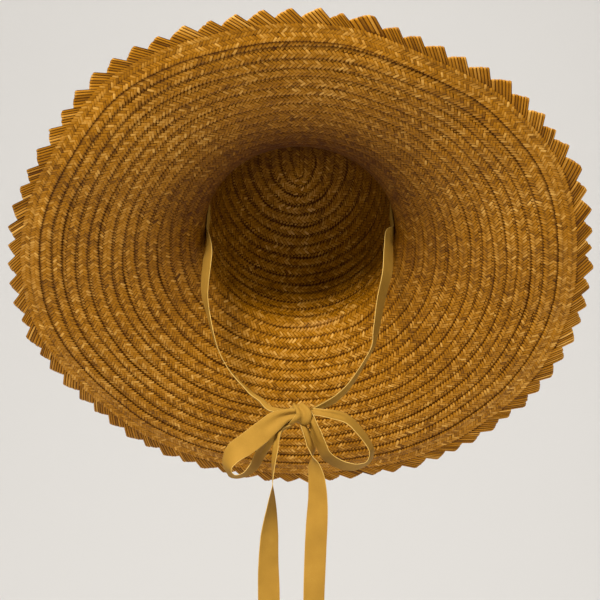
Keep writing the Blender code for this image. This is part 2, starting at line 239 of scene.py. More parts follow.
# Ties, from below the head opening to the knot
# columns: out in shares of half the head's width, forward and down in shares of the knot's own place,
# width x, y and z, share of the full width
TIE_LEFT_ROUTE = (
    (0.943, 0.225, 0.126, 0.45, -0.89, 0.00, 1.00),
    (0.975, 0.195, 0.311, 0.40, -0.92, 0.00, 1.00),
    (0.934, 0.255, 0.452, 0.20, -0.98, 0.00, 1.00),
    (0.842, 0.375, 0.637, 0.10, -0.99, 0.00, 1.00),
    (0.711, 0.500, 0.770, 0.00, -1.00, 0.10, 1.00),
    (0.513, 0.670, 0.880, 0.00, -0.99, -0.05, 0.90),
    (0.395, 0.760, 0.928, 0.00, -0.98, -0.18, 0.75),
    (0.290, 0.850, 0.975, 0.00, -0.96, -0.26, 0.55),
)
TIE_RIGHT_ROUTE = (
    (0.914, 0.112, 0.022, -0.38, -0.80, 0.30, 1.00),
    (0.905, 0.165, 0.095, -0.45, -0.87, 0.00, 1.00),
    (0.888, 0.250, 0.215, -0.50, -0.87, 0.00, 1.00),
    (0.820, 0.312, 0.378, -0.42, -0.90, 0.00, 1.00),
    (0.763, 0.400, 0.556, -0.30, -0.95, 0.05, 1.00),
    (0.705, 0.490, 0.670, -0.10, -0.98, 0.15, 1.00),
    (0.511, 0.650, 0.841, 0.00, -0.88, 0.42, 0.95),
    (0.372, 0.750, 0.918, 0.00, -0.86, 0.48, 0.80),
    (0.257, 0.825, 0.955, 0.00, -0.86, 0.50, 0.60),
)
# Where a tie enters the knot
# columns: back and up from the knot's middle in shares of its depth and height, width x, y, z, share
TIE_LEFT_ENTRY = (0.200, 0.100, 0.00, -0.95, -0.30, 0.34)
TIE_RIGHT_ENTRY = (0.267, 0.100, 0.00, -0.85, 0.52, 0.34)

# Bow loops, out of the knot's side and back into it
# columns: out, forward and up in shares of the loop's reach, width x, y and z, share of the full width
LOOP_LEFT_ROUTE = (
    (-0.170, 0.160, 0.015, 0.10, 0.20, -0.97, 0.46),
    (0.000, 0.135, -0.020, 0.15, 0.10, -0.98, 0.60),
    (0.195, 0.135, -0.120, 0.50, 0.00, -0.85, 0.88),
    (0.420, 0.165, -0.305, 0.60, 0.00, -0.80, 1.00),
    (0.660, 0.190, -0.490, 0.66, -0.10, -0.75, 1.00),
    (0.865, 0.190, -0.630, 0.65, -0.45, -0.60, 1.00),
    (0.990, 0.165, -0.805, 0.50, -0.80, -0.25, 1.00),
    (0.995, 0.115, -0.935, 0.35, -0.93, 0.00, 1.00),
    (0.900, 0.070, -1.045, 0.15, -0.95, 0.25, 1.00),
    (0.735, 0.000, -1.035, 0.00, -0.95, 0.30, 1.00),
    (0.560, -0.070, -0.900, -0.27, -0.88, 0.38, 1.00),
    (0.445, -0.120, -0.700, -0.40, -0.86, 0.30, 1.00),
    (0.300, -0.140, -0.490, -0.38, -0.88, 0.28, 0.90),
    (0.115, -0.120, -0.250, -0.20, -0.97, 0.12, 0.55),
    (0.000, -0.020, -0.130, 0.00, -1.00, 0.00, 0.38),
)
LOOP_RIGHT_ROUTE = (
    (0.000, 0.062, 0.044, 0.00, -0.82, -0.57, 0.45),
    (0.165, 0.115, 0.030, -0.05, -0.92, -0.38, 0.70),
    (0.360, 0.160, -0.002, -0.05, -0.93, -0.36, 0.95),
    (0.595, 0.184, -0.078, -0.08, -0.93, -0.34, 1.00),
    (0.790, 0.184, -0.262, -0.20, -0.93, -0.25, 1.00),
    (0.950, 0.184, -0.478, -0.24, -0.95, -0.12, 1.00),
    (1.012, 0.184, -0.632, -0.25, -0.96, 0.00, 1.00),
    (0.964, 0.160, -0.790, -0.20, -0.96, 0.12, 1.00),
    (0.853, 0.138, -0.860, -0.12, -0.95, 0.25, 1.00),
    (0.680, 0.115, -0.892, 0.00, -0.90, 0.42, 1.00),
    (0.455, 0.100, -0.838, 0.15, -0.87, 0.45, 1.00),
    (0.250, 0.105, -0.700, 0.34, -0.86, 0.36, 1.00),
    (0.145, 0.115, -0.490, 0.46, -0.87, 0.18, 1.00),
    (0.075, 0.125, -0.310, 0.50, -0.86, 0.05, 0.95),
    (0.010, 0.115, -0.130, 0.52, -0.84, -0.20, 0.72),
    (-0.050, 0.060, 0.020, 0.50, -0.80, -0.30, 0.45),
)

# Tails, from under the knot to their slanted ends
# columns: sideways, forward and down in shares of the tail's length, width x, y and z,
# share of the full width
TAIL_LEFT_ROUTE = (
    (-0.041, 0.008, 0.000, 0.30, -0.95, 0.00, 0.35),
    (-0.088, 0.004, 0.022, 0.30, -0.95, 0.00, 0.35),
    (-0.109, 0.026, 0.073, 0.30, -0.95, 0.00, 0.55),
    (-0.119, 0.046, 0.129, 0.26, -0.96, 0.00, 0.85),
    (-0.130, 0.055, 0.200, 0.16, -0.98, 0.00, 1.00),
    (-0.134, 0.060, 0.300, 0.00, -1.00, 0.00, 1.00),
    (-0.139, 0.062, 0.412, -0.42, -0.90, 0.00, 1.00),
    (-0.149, 0.062, 0.553, -0.80, -0.60, 0.00, 1.00),
    (-0.154, 0.060, 0.695, -0.91, -0.41, 0.00, 1.00),
    (-0.152, 0.055, 0.837, -1.00, -0.09, 0.00, 1.00),
    (-0.151, 0.050, 1.000, -1.00, 0.00, 0.18, 1.00),
)
TAIL_RIGHT_ROUTE = (
    (0.020, 0.000, 0.000, -0.45, -0.89, 0.00, 0.45),
    (0.047, 0.012, 0.057, -0.45, -0.89, 0.00, 0.85),
    (0.062, 0.026, 0.112, -0.38, -0.92, 0.00, 1.00),
    (0.066, 0.034, 0.158, 0.00, -1.00, 0.00, 1.00),
    (0.074, 0.038, 0.200, 0.52, -0.85, 0.00, 1.00),
    (0.088, 0.042, 0.271, 0.76, -0.65, 0.00, 1.00),
    (0.094, 0.044, 0.377, 0.88, -0.48, 0.00, 1.00),
    (0.088, 0.046, 0.519, 1.00, -0.09, 0.00, 1.00),
    (0.083, 0.046, 0.624, 1.00, 0.00, 0.00, 1.00),
    (0.075, 0.046, 0.850, 0.95, 0.25, 0.00, 1.00),
    (0.073, 0.046, 1.020, 0.95, 0.28, -0.18, 1.00),
)

# The knot's turns, once round its heart, from the top over the front
# columns: turn in degrees from the top, sideways, radius in shares of the heart's own, share of the width
KNOT_WRAP = (
    (-20, -0.0010, 1.02, 0.45),
    (20, -0.0012, 1.04, 0.45),
    (50, 0.0012, 1.08, 0.58),
    (85, 0.0034, 1.12, 0.72),
    (120, 0.0024, 1.12, 0.80),
    (155, -0.0010, 1.10, 0.82),
    (190, -0.0030, 1.02, 0.72),
    (230, -0.0020, 1.02, 0.60),
    (290, 0.0000, 1.02, 0.50),
    (340, -0.0010, 1.02, 0.45),
)
HEART_HEIGHT = 0.0066
HEART_DEPTH = 0.0066
HEART_FOLDS = 7
HEART_FOLD_DEPTH = 0.05

# Edges that turn by more are shaded as sharp
SHARP_ANGLE = math.radians(50)

# Straw, its shadowed body and the ribbon, each from dark to light
STRAW_COLOURS = ((0.0, (0.05, 0.012, 0.0002)), (0.45, (0.31, 0.120, 0.002)), (1.0, (0.72, 0.40, 0.09)))
STRAW_SHADE_COLOUR = (0.040, 0.008, 0.0004)
STRAW_ROUGHNESS = 0.32
BODY_COLOURS = ((0.3, (0.03, 0.009, 0.001)), (0.7, (0.10, 0.034, 0.004)))
RIBBON_COLOURS = ((0.0, (0.19, 0.096, 0.012)), (0.5, (0.31, 0.163, 0.023)), (1.0, (0.56, 0.36, 0.10)))

# How much each thing lightens a straw or, from EVEN_DARKNESS on, darkens it; the last two set the painted
# shade
TONE_WEIGHT = 0.65
STREAK_WEIGHT = 0.6
PATCH_WEIGHT = 0.35
EVEN_DARKNESS = 0.33
PAINTED_SHADE_WEIGHT = 0.3
SHADE_TINT = 0.9

# Studio
CAMERA_PLACE = (0.0, -1.36, -0.051)
CAMERA_LENS = 103.98
CAMERA_SENSOR = 36.0
CAMERA_CLIP_START = 0.05
WORLD_COLOUR = (1.0, 0.98, 0.95, 1.0)
WORLD_STRENGTH = 0.37
LIGHT_AIM = (0.0, 0.0, -0.05)

# columns: name, place, diameter, power, colour
LIGHTS = (
    ("key", (-0.6, -1.7, 1.25), 0.5, 86, (1.0, 0.97, 0.93)),
    ("fill", (1.6, -1.7, 0.4), 1.6, 13, (1.0, 0.98, 0.96)),
    ("back", (0.4, 1.2, 1.9), 1.6, 16, (1.0, 0.98, 0.95)),
)

# Backdrop: a floor, a bend and a wall, with the share of the sheet's length that the first two take up
BACKDROP_COLOUR = (0.68, 0.67, 0.655)
BACKDROP_WIDTH = 12.0
FLOOR_HEIGHT = -0.75
FLOOR_FRONT = -4.0
BEND_START = 0.9
WALL_BACK = 2.4
WALL_TOP = 4.0
FLOOR_SHARE = 0.45
BEND_SHARE = 0.3
WALL_START = 0.75


def ease(share):
    """A share from 0 to 1 with a soft start and end."""
    return share * share * (3 - 2 * share)


def column(table, index):
    return np.array([row[index] for row in table], float)


class Section:
    """The hat's middle surface in section, read by length along it."""

    def __init__(self):
        half = HEAD_WIDTH / 2
        power = 2 / CROWN_FULLNESS
        tip_turn = math.asin((CROWN_TIP_REACH / half) ** (1 / power))
        turn = np.linspace(tip_turn, math.pi / 2, PROFILE_STEPS + 1)
        share = (np.arange(PROFILE_STEPS) + 0.5) / PROFILE_STEPS
        droop = np.radians(np.interp(share, column(BRIM_DROOP, 0), column(BRIM_DROOP, 1)))
        step = BRIM_WIDTH / PROFILE_STEPS
        self.reach = np.append(half * np.sin(turn) ** power, half + np.cumsum(np.cos(droop)) * step)
        self.height = np.append(
            CROWN_DEPTH * np.clip(np.cos(turn), 0, None) ** power, -np.cumsum(np.sin(droop)) * step
        )
        self.reach = np.append(0.0, self.reach)
        self.height = np.append(self.height[0], self.height)
        steps = np.hypot(np.diff(self.reach), np.diff(self.height))
        self.length = np.append(0.0, np.cumsum(steps)) - CROWN_TIP_REACH
        slope_reach = np.gradient(self.reach, self.length)
        slope_height = np.gradient(self.height, self.length)
        size = np.hypot(slope_reach, slope_height)
        self.slope_reach = slope_reach / size
        self.slope_height = slope_height / size

    def read(self, values, length):
        return np.interp(length, self.length, values)

    def point(self, length, rise):
        reach = self.read(self.reach, length) - rise * self.read(self.slope_height, length)
        height = self.read(self.height, length) + rise * self.read(self.slope_reach, length)
        return reach, height


HAT = Section()
OPENING = HAT.length[PROFILE_STEPS + 1]
RIM = HAT.length[-1]
RIM_REACH = HAT.reach[-1]
LONGER = (HEAD_LENGTH - HEAD_WIDTH) / 2


def rim_sway(angle, index):
    """The rim's extra reach (index 1) or height (index 2) at an angle, in shares of the brim's width."""
    first = RIM_SWAY[0][0]
    degrees = (np.degrees(angle) - first) % 360 + first
    starts = np.append(column(RIM_SWAY, 0), first + 360)
    values = np.append(column(RIM_SWAY, index), RIM_SWAY[0][index])
    low = np.clip(np.searchsorted(starts, degrees, side="right") - 1, 0, len(RIM_SWAY) - 1)
    share = ease((degrees - starts[low]) / (starts[low + 1] - starts[low]))
    return values[low] + (values[low + 1] - values[low]) * share


def soft_puckers(length, angle):
    """Low waves that the sewing leaves in the outer rows, strongest at the image's right."""
    outward = np.clip((length - OPENING) / BRIM_WIDTH, 0, 1)
    degrees = (np.degrees(angle) + 180) % 360 - 180
    right = np.exp(-(((degrees - RIGHT_PUCKER_ANGLE) / RIGHT_PUCKER_SPREAD) ** 2))
    fine = RIGHT_PUCKER_HEIGHT * right * ease(outward) * np.sin(angle * 43)
    return fine + PUCKER_HEIGHT * outward * (np.sin(angle * 11 + 1.3) + 0.5 * np.sin(angle * 23 + 4.0))


def on_hat(length, rise, angle):
    """Places on the leaning hat, one row of x, y, z each."""
    reach, height = HAT.point(length, rise + soft_puckers(length, angle))
    outward = np.clip((reach - HEAD_WIDTH / 2) / (RIM_REACH - HEAD_WIDTH / 2), 0, None)
    grown = BRIM_WIDTH * outward**SWAY_GROWTH
    reach = reach + rim_sway(angle, 1) * grown
    height = height + rim_sway(angle, 2) * grown
    across = reach * np.sin(angle)
    back = -(reach + LONGER) * np.cos(angle)
    lean_cos, lean_sin = math.cos(LEAN_BACK), math.sin(LEAN_BACK)
    return np.stack((across, back * lean_cos + height * lean_sin, height * lean_cos - back * lean_sin), -1)


def edge_margin(angle):
    """The length at which the toothed plait's inner margin lies."""
    degrees = np.degrees(angle)
    starts = column(EDGE_INSET, 0)
    return RIM - np.interp(degrees, starts, column(EDGE_INSET, 1), period=360)


def row_lean(beyond):
    """How far a lapped row stands off the middle surface, at a distance beyond its inner margin."""
    sewn = ease(np.clip((beyond - ROW_PITCH) / PLAIT_LAP, 0, 1))
    return LAP_RISE * (beyond - PLAIT_WIDTH / 2) / ROW_PITCH - SEAM_PINCH * sewn


class Spiral:
    """The sewn spiral. A turn counts rows from the head opening, and grows by one each time round."""

    def __init__(self):
        self.first = (-CROWN_TIP_REACH - OPENING) / ROW_PITCH - 1
        self.last = SPIRAL_END
        samples = int((self.last - self.first) * SPIRAL_SAMPLES) + 1
        self.turns = np.linspace(self.first, self.last, samples)
        angle = self.angle(self.turns)
        reach = HAT.read(HAT.reach, self.margin(self.turns) + ROW_PITCH / 2)
        speed = 2 * math.pi * np.hypot(reach * np.cos(angle), (reach + LONGER) * np.sin(angle))
        steps = (speed[1:] + speed[:-1]) / 2 * np.diff(self.turns)
        self.run = np.append(0.0, np.cumsum(steps))

    def angle(self, turn):
        return 2 * math.pi * turn + SPIRAL_START

    def margin(self, turn):
        """The length at which a row's inner margin lies, with the seam's small wander."""
        angle = self.angle(turn)
        turned_in = LAST_TURN_IN * ease(np.clip((turn - SPIRAL_END) / TURN_IN_TURNS + 1, 0, 1))
        slow = np.sin(angle * 2.37) + 0.8 * np.sin(angle * 5.71 + 2)
        quick = np.sin(angle * 9.3 + 1) + 0.7 * np.sin(angle * 17.2)
        length = OPENING + ROW_PITCH * turn + SLOW_WANDER * slow + QUICK_WANDER * quick + turned_in
        return np.maximum(length, -CROWN_TIP_REACH)

    def drawn(self, turn):
        """The plait's width in shares of its own. Its first turn starts narrow, and its last one widens."""
        grown = LAST_WIDENING * ease(np.clip((turn - SPIRAL_END + WIDENING_START) / WIDENING_TURNS, 0, 1))
        room = OPENING + ROW_PITCH * turn + PLAIT_WIDTH - self.margin(turn)
        return np.minimum(room / PLAIT_WIDTH, 1.0) + grown

    def shown(self, turn, side):
        """How much of the plait's width shows on one face, from its free margin to the row that laps it."""
        if side < 0:
            edge = edge_margin(self.angle(turn))
            following = np.where(turn + 1 <= self.last, self.margin(turn + 1), edge)
            return (np.minimum(following, edge) - self.margin(turn)) / self.drawn(turn)
        width = self.outer(turn) - self.outer(turn - 1)
        return np.where(turn - 1 < self.first, PLAIT_WIDTH, width) / self.drawn(turn)

    def outer(self, turn):
        """The length at which a row's outer margin lies."""
        return self.margin(turn) + PLAIT_WIDTH * self.drawn(turn)

    def last_at(self, angle):
        """Where in its last turn the spiral passes an angle."""
        return self.last - (self.last - (angle - SPIRAL_START) / (2 * math.pi)) % 1

    def turn_at(self, run):
        return np.interp(run, self.run, self.turns)

    def run_at(self, turn):
        return np.interp(turn, self.turns, self.run)

    def place(self, turn, beyond, rise):
        """Where a point of the plait lies. The last row lies flat on the outside of the toothed plait."""
        angle = self.angle(turn)
        length = self.margin(turn) + beyond * self.drawn(turn)
        covered = ease(np.clip((length - edge_margin(angle)) / PLAIT_LAP, 0, 1))
        crown = ROW_CROWN * np.sign(rise) * (1 - (2 * beyond / PLAIT_WIDTH - 1) ** 2) * (1 - covered)
        return on_hat(length, row_lean(beyond) + UNDER_EDGE * covered + crown + rise, angle)


SPIRAL = Spiral()


# Mesh helpers


def finish_piece(name, mesh, material, replaced=()):
    """A visible piece of the hat, and which solids it stands for."""
    mesh.materials.append(material)
    mesh.shade_smooth()
    piece = bpy.data.objects.new(name, mesh)
    bpy.context.scene.collection.objects.link(piece)
    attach(piece, "root")
    if replaced:
        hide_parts(*replaced)
    return piece


def laid_grid(columns, rows, lay, rolled=False):
    """A grid whose unit square is laid by lay(u, v). A rolled one meets itself along v."""
    bm = bmesh.new()
    bm.loops.layers.uv.new("UVMap")
    bmesh.ops.create_grid(bm, x_segments=columns, y_segments=rows, size=0.5, calc_uvs=True)
    flat = np.array([vert.co for vert in bm.verts])
    for vert, place in zip(bm.verts, lay(flat[:, 0] + 0.5, flat[:, 1] + 0.5)):
        vert.co = place
    if rolled:
        bmesh.ops.remove_doubles(bm, verts=bm.verts, dist=1e-6)
    return bm


def mesh_from(bm, name, as_laid=False):
    """The finished mesh. Unless it stays as it was laid, its normals and its sharp edges are set."""
    if not as_laid:
        bmesh.ops.recalc_face_normals(bm, faces=bm.faces)
    mesh = bpy.data.meshes.new(name)
    bm.to_mesh(mesh)
    bm.free()
    if not as_laid:
        mesh.set_sharp_from_angle(angle=SHARP_ANGLE)
    return mesh


def template_grid(columns, rows):
    """The corners and the faces' corner numbers of a small grid, as arrays for copying."""
    bm = bmesh.new()
    bmesh.ops.create_grid(bm, x_segments=columns, y_segments=rows, size=0.5)
    bm.verts.index_update()
    corners = np.array([vert.co for vert in bm.verts])
    loops = np.array([[vert.index for vert in face.verts] for face in bm.faces])
    bm.free()
    return corners, loops


def copied_mesh(name, corners, loops, places, tones, shades):
    """One joined mesh of many copies of a small grid.

    places is copies x corners x 3, tones one value a copy, and shades one value a corner of each copy."""
    copies, count = places.shape[:2]
    faces = (loops[None] + count * np.arange(copies)[:, None, None]).reshape(-1, loops.shape[1])
    mesh = bpy.data.meshes.new(name)
    mesh.vertices.add(copies * count)
    mesh.vertices.foreach_set("co", places.reshape(-1))
    mesh.loops.add(faces.size)
    mesh.loops.foreach_set("vertex_index", faces.reshape(-1))
    mesh.polygons.add(len(faces))
    mesh.polygons.foreach_set("loop_start", np.arange(len(faces)) * loops.shape[1])
    mesh.update(calc_edges=True)
    layer = mesh.uv_layers.new(name="UVMap")
    layer.data.foreach_set("uv", np.tile(corners[loops.reshape(-1), :2] + 0.5, (copies, 1)).reshape(-1))
    for attribute, values in (("tone", np.repeat(tones, count)), ("shade", shades.reshape(-1))):
        mesh.attributes.new(attribute, "FLOAT", "POINT").data.foreach_set("value", values)
    return mesh


# The straws of the plait


def straw_tones(copies, tones, rng):
    """A tone for each straw, from 0 for dark to 1 for light, with a few lighter ones."""
    middle, spread, lighter, few = tones
    return np.clip(rng.normal(middle, spread, copies) + lighter * (rng.random(copies) < few), 0, 1)


def float_places(run, edge, slant, angle, side, margin_sign, place, shade, rng):
    """Straws where they show on top of their crossings: all that copied_mesh needs besides a name.

    run and edge say where each one's middle lies, along the row and in from the visible margin. place and
    shade turn such values into a place on the hat and into how dark it is there."""
    corners, loops = template_grid(columns=3, rows=2)
    shoulders = (-0.5, -STRAW_SHOULDER, STRAW_SHOULDER, 0.5)
    along = np.interp(corners[:, 0], (-0.5, -1 / 6, 1 / 6, 0.5), shoulders)
    across = corners[:, 1]
    bulge = (1 - (2 * np.abs(along)) ** 4) * (1 - STRAW_ROUNDNESS * (2 * np.abs(across)) ** 2)
    copies = len(run)
    length = STRAW_LENGTH * (1 + rng.normal(0, LENGTH_SPREAD, copies))[:, None]
    width = STRAW_WIDTH * STRAW_FILL * (1 + rng.normal(0, WIDTH_SPREAD, copies))[:, None]
    swing = (angle + np.radians(rng.normal(0, SWING_SPREAD, copies)))[:, None]
    turn_cos, turn_sin = np.cos(swing), np.sin(swing) * slant[:, None]
    run = run[:, None] + along * length * turn_cos - across * width * turn_sin
    edge = edge[:, None] + along * length * turn_sin + across * width * turn_cos
    lift = STRAW_RISE * (1 + rng.normal(0, LIFT_SPREAD, copies))[:, None] * bulge - STRAW_SUNK
    past = np.clip(-edge, 0, None) * MARGIN_FALL
    edge = np.where(edge < 0, edge * MARGIN_WRAP, edge)
    places = place(run, edge, side * (CORE_HALF + lift - past))
    if side * margin_sign > 0:
        loops = loops[:, ::-1]
    return corners, loops, places, straw_tones(copies, STRAW_TONES, rng), shade(run, edge)


def float_bands(first_run, last_run, bands, height, period, rng):
    """The middles of the straws in herringbone bands, and which way each one slants."""
    runs, edges, slants = [], [], []
    for band in range(bands):
        slant = 1 if band % 2 == 0 else -1
        run = np.arange(first_run + (0.5 + BAND_STAGGER * slant) * period, last_run, period)
        runs.append(run)
        edges.append(np.full(len(run), (band + 0.5) * height))
        slants.append(np.full(len(run), float(slant)))
    run, edge, slant = (np.concatenate(values) for values in (runs, edges, slants))
    run = run + rng.normal(0, RUN_SPREAD, len(run))
    edge = edge + rng.normal(0, EDGE_SPREAD, len(run))
    return run, edge, slant


def straw_cover(name, first_turn, last_turn, side, material, seed, bands=BANDS):
    """The straws on one face of the spiral. side is 1 outside and -1 underneath."""
    rng = np.random.default_rng(seed)
    period = STRAW_WIDTH / math.sin(STRAW_SLANT)
    ends = SPIRAL.run_at(first_turn), SPIRAL.run_at(last_turn)
    run, edge, slant = float_bands(*ends, bands, BAND_HEIGHT, period, rng)

    def place(run, edge, rise):
        beyond = edge if side < 0 else PLAIT_WIDTH - edge
        return SPIRAL.place(SPIRAL.turn_at(run), beyond, rise)

    def shade(run, edge):
        """Painted shade where the next row lies over this one, and towards the head underneath."""
        turn = SPIRAL.turn_at(run)
        shown = SPIRAL.shown(turn, side)
        reach = np.clip(shown * SEAM_SHADE_SHARE, SEAM_SHADE_MIN, SEAM_SHADE)
        covered = np.clip((edge - shown) / reach + 1, 0, 1)
        if side > 0:
            return covered
        # Painted shade in the rows near the head opening, strongest at the front; the free margin keeps
        # less, a painted highlight
        near = np.exp(-((np.clip(turn, 0, None) / INNER_ROWS) ** 2))
        inner = near * (1 + np.cos(SPIRAL.angle(turn))) / 2
        margin = INNER_MARGIN_SHARE * inner * (edge < INNER_MARGIN)
        return np.maximum(covered, inner - margin)

    copies = float_places(run, edge, slant, STRAW_SLANT, side, -side, place, shade, rng)
    finish_piece(name, copied_mesh(name, *copies), material)


def plait_core(name, first_turn, last_turn, material, replaced):
    """The dark body of the plait, one long strip wound in the spiral."""
    section = ((0.0, -1), (0.5, -1), (1.0, -1), (1.0, 1), (0.5, 1), (0.0, 1), (0.0, -1))
    share = column(section, 0)
    face = column(section, 1)
    stations = int((last_turn - first_turn) * CORE_STATIONS)

    def lay(u, v):
        corner = np.round(v * (len(section) - 1)).astype(int)
        turn = first_turn + (last_turn - first_turn) * u
        inset = np.where(turn < SPIRAL.first + TIP_TURNS, 0.0, CORE_INSET)
        beyond = inset + share[corner] * (PLAIT_WIDTH - 2 * inset)
        return SPIRAL.place(turn, beyond, face[corner] * CORE_HALF)

    bm = laid_grid(stations, len(section) - 1, lay, rolled=True)
    open_edges = [edge for edge in bm.edges if edge.is_boundary]
    bmesh.ops.holes_fill(bm, edges=open_edges, sides=len(section) - 1)
    finish_piece(name, mesh_from(bm, name), material, replaced)


# The toothed edge


def edge_lean(beyond):
    """The toothed plait lies under the last row at its inner margin and level with it further out."""
    return np.minimum(row_lean(beyond) - EDGE_LAP_GAP, 0.0)


class Teeth:
    """Where each tooth starts round the rim, and its form: a straight fold that rises to the tip and a side
    that falls back along its last straw."""

    def __init__(self):
        rng = np.random.default_rng(21)
        shift = np.clip(rng.normal(0, TOOTH_SHIFT, TEETH), -TOOTH_SHIFT_MAX, TOOTH_SHIFT_MAX)
        starts = np.arange(TEETH) + shift
        self.start = np.append(starts, starts[0] + TEETH)
        middle = np.degrees((self.start[:-1] + 0.5) * TOOTH_ANGLE)
        rise = np.interp(middle, column(TOOTH_FORM, 0), column(TOOTH_FORM, 1), period=360)
        slant = np.interp(middle, column(TOOTH_FORM, 0), column(TOOTH_FORM, 2), period=360)
        self.fold_slope = np.tan(np.radians(rise + rng.normal(0, FOLD_SPREAD, TEETH)))
        self.slant = np.tan(np.radians(slant))
        self.tip = 1 / (1 + self.fold_slope * self.slant)

    def place(self, tooth, within, inward):
        """Angle and length of a point of tooth, at a share of its pitch along the fold's line, or past the
        tip down its side, and moved in along the straws."""
        pitch = (self.start[tooth + 1] - self.start[tooth]) * TOOTH_PITCH
        share = np.minimum(within, self.tip[tooth])
        along = share * pitch
        up = along * self.fold_slope[tooth]
        spread = 2 * share / self.tip[tooth] - 1
        up = up - POINT_ROUNDING * spread**4
        past = (within - share) * pitch
        up = up - past / self.slant[tooth] - inward
        along = along + past + inward * self.slant[tooth]
        turn = self.start[tooth] + along / TOOTH_PITCH
        height = TOOTH_PITCH * self.tip[tooth] * self.fold_slope[tooth]
        return turn * TOOTH_ANGLE, RIM - height + up


TOOTH = Teeth()


def edge_core(material):
    """The dark body of the toothed plait, kept just inside the folds of its straws."""
    corners = (0.0, 0.15, 0.3, 0.45, 0.8, 1.0)
    section = [(share, -1) for share in corners] + [(share, 1) for share in reversed(corners)]
    section.append(section[0])
    steps = (0.0, 0.33, 0.67, 1.0)

    def lay(u, v):
        corner = np.round(v * (len(section) - 1)).astype(int)
        share, face = (column(section, index)[corner] for index in range(2))
        station = np.round(u * TEETH * len(steps)).astype(int)
        tooth = np.minimum(station // len(steps), TEETH - 1)
        step = station - tooth * len(steps)
        # The last station of all is where the last tooth's side ends
        within = np.where(step < len(steps), np.append(steps, 1.0)[step] * TOOTH.tip[tooth], 1.0)
        angle, length = TOOTH.place(tooth, within, EDGE_BODY_INSET)
        margin = edge_margin(angle)
        beyond = share * (length - margin)
        rise = face * (CORE_HALF - EDGE_BODY_THINNER)
        return on_hat(margin + beyond, edge_lean(beyond) + rise, angle)

    bm = laid_grid(TEETH * len(steps), len(section) - 1, lay, rolled=True)
    finish_piece("edge_body", mesh_from(bm, "edge_body"), material, ("edge_braid",))


# columns: share of the way in from the fold, rise off the middle in shares of the straw's own, from the
# underside over the fold to the outside
FOLDED_STRAW = (
    (1.00, -0.30),
    (0.80, -0.80),
    (0.45, -0.95),
    (0.12, -1.00),
    (0.02, -0.70),
    (-0.01, 0.00),
    (0.02, 0.70),
    (0.12, 1.00),
    (0.45, 0.95),
    (0.80, 0.80),
    (1.00, 0.30),
)


def edge_points(material):
    """The straws that are folded over at the rim, six to a tooth."""
    rng = np.random.default_rng(11)
    corners, loops = template_grid(columns=len(FOLDED_STRAW) - 1, rows=4)
    station = np.round((corners[:, 0] + 0.5) * (len(FOLDED_STRAW) - 1)).astype(int)
    inward, lift = column(FOLDED_STRAW, 0)[station], column(FOLDED_STRAW, 1)[station]
    tooth, straw = np.divmod(np.arange(TEETH * TOOTH_STRAWS), TOOTH_STRAWS)
    copies = len(tooth)
    width = (POINT_STRAW_FILL + rng.normal(0, POINT_STRAW_SPREAD, copies))[:, None]
    fold = ((straw + 0.5)[:, None] + corners[:, 1] * width) / TOOTH_STRAWS
    tooth = tooth[:, None]
    reach = fold * TOOTH_PITCH * TOOTH.tip[tooth] * TOOTH.fold_slope[tooth]
    depth = (reach + TOOTH_STRAW_DEPTH) * (1 + rng.normal(0, POINT_DEPTH_SPREAD, copies))[:, None]
    start = np.abs(rng.normal(0, POINT_START_SPREAD, copies))[:, None]
    angle, length = TOOTH.place(tooth, fold * TOOTH.tip[tooth], inward * depth + start)
    crest = 1 - POINT_ROUNDNESS * (2 * corners[:, 1]) ** 2
    rise = lift * (POINT_RISE + rng.normal(0, POINT_RISE_SPREAD, copies)[:, None]) * crest
    places = on_hat(length, edge_lean(length - edge_margin(angle)) + rise, angle)
    tones = straw_tones(copies, POINT_TONES, rng)
    # Painted shade in the gaps between straws and in the last quarter of the way in, and a painted
    # highlight on the fold
    gap = POINT_GAP_SHADE * (2 * np.abs(corners[:, 1])) ** 4
    end = POINT_END_SHADE * ease(np.clip(4 * inward - 3, 0, 1))
    shades = np.tile(gap + end - POINT_FOLD_HIGHLIGHT * (inward < POINT_FOLD), (copies, 1))
    mesh = copied_mesh("edge_points", corners, loops, places, tones, shades)
    finish_piece("edge_points", mesh, material)


def edge_cover(name, side, material, seed):
    """The herringbone of the toothed plait, between its inner margin and the folded straws."""
    rng = np.random.default_rng(seed)
    period = TOOTH_PITCH / EDGE_STRAWS
    last_run = TEETH * TOOTH_PITCH - 1e-6
    run, edge, slant = float_bands(0.0, last_run, EDGE_BANDS, EDGE_BAND_HEIGHT, period, rng)

    def angle_at(run):
        return run / TOOTH_PITCH * TOOTH_ANGLE

    def place(run, edge, rise):
        angle = angle_at(run)
        return on_hat(edge_margin(angle) + edge, edge_lean(edge) + rise, angle)

    def shade(run, edge):
        """Painted shade where the last row lies over it, seen from outside."""
        if side < 0:
            return np.zeros(edge.shape)
        angle = angle_at(run)
        covered = SPIRAL.outer(SPIRAL.last_at(angle)) - edge_margin(angle)
        return np.clip(1 - (edge - covered) / SEAM_SHADE, 0, 1)

    copies = float_places(run, edge, slant, EDGE_SLANT, side, 1, place, shade, rng)
    finish_piece(name, copied_mesh(name, *copies), material)


# Ribbons


def smooth_route(points, count):
    """A smooth curve through points, with count samples to a span, and the place in the list of each."""
    last = len(points) - 1
    place = np.linspace(0, last, last * count + 1)
    low = np.minimum(place.astype(int), last - 1)
    share = (place - low)[:, None]
    before, near, far, after = (points[np.clip(low + step, 0, last)] for step in (-1, 0, 1, 2))
    curve = (
        near * 2
        + (far - before) * share
        + (before * 2 - near * 5 + far * 4 - after) * share**2
        + (near * 3 - before - far * 3 + after) * share**3
    ) / 2
    return curve, place


def unit(vectors):
    return vectors / np.linalg.norm(vectors, axis=-1, keepdims=True)


def read_columns(values, known, places):
    """Columns of values that are known at some places, read at others."""
    return np.stack([np.interp(places, known, column_values) for column_values in values.T], -1)


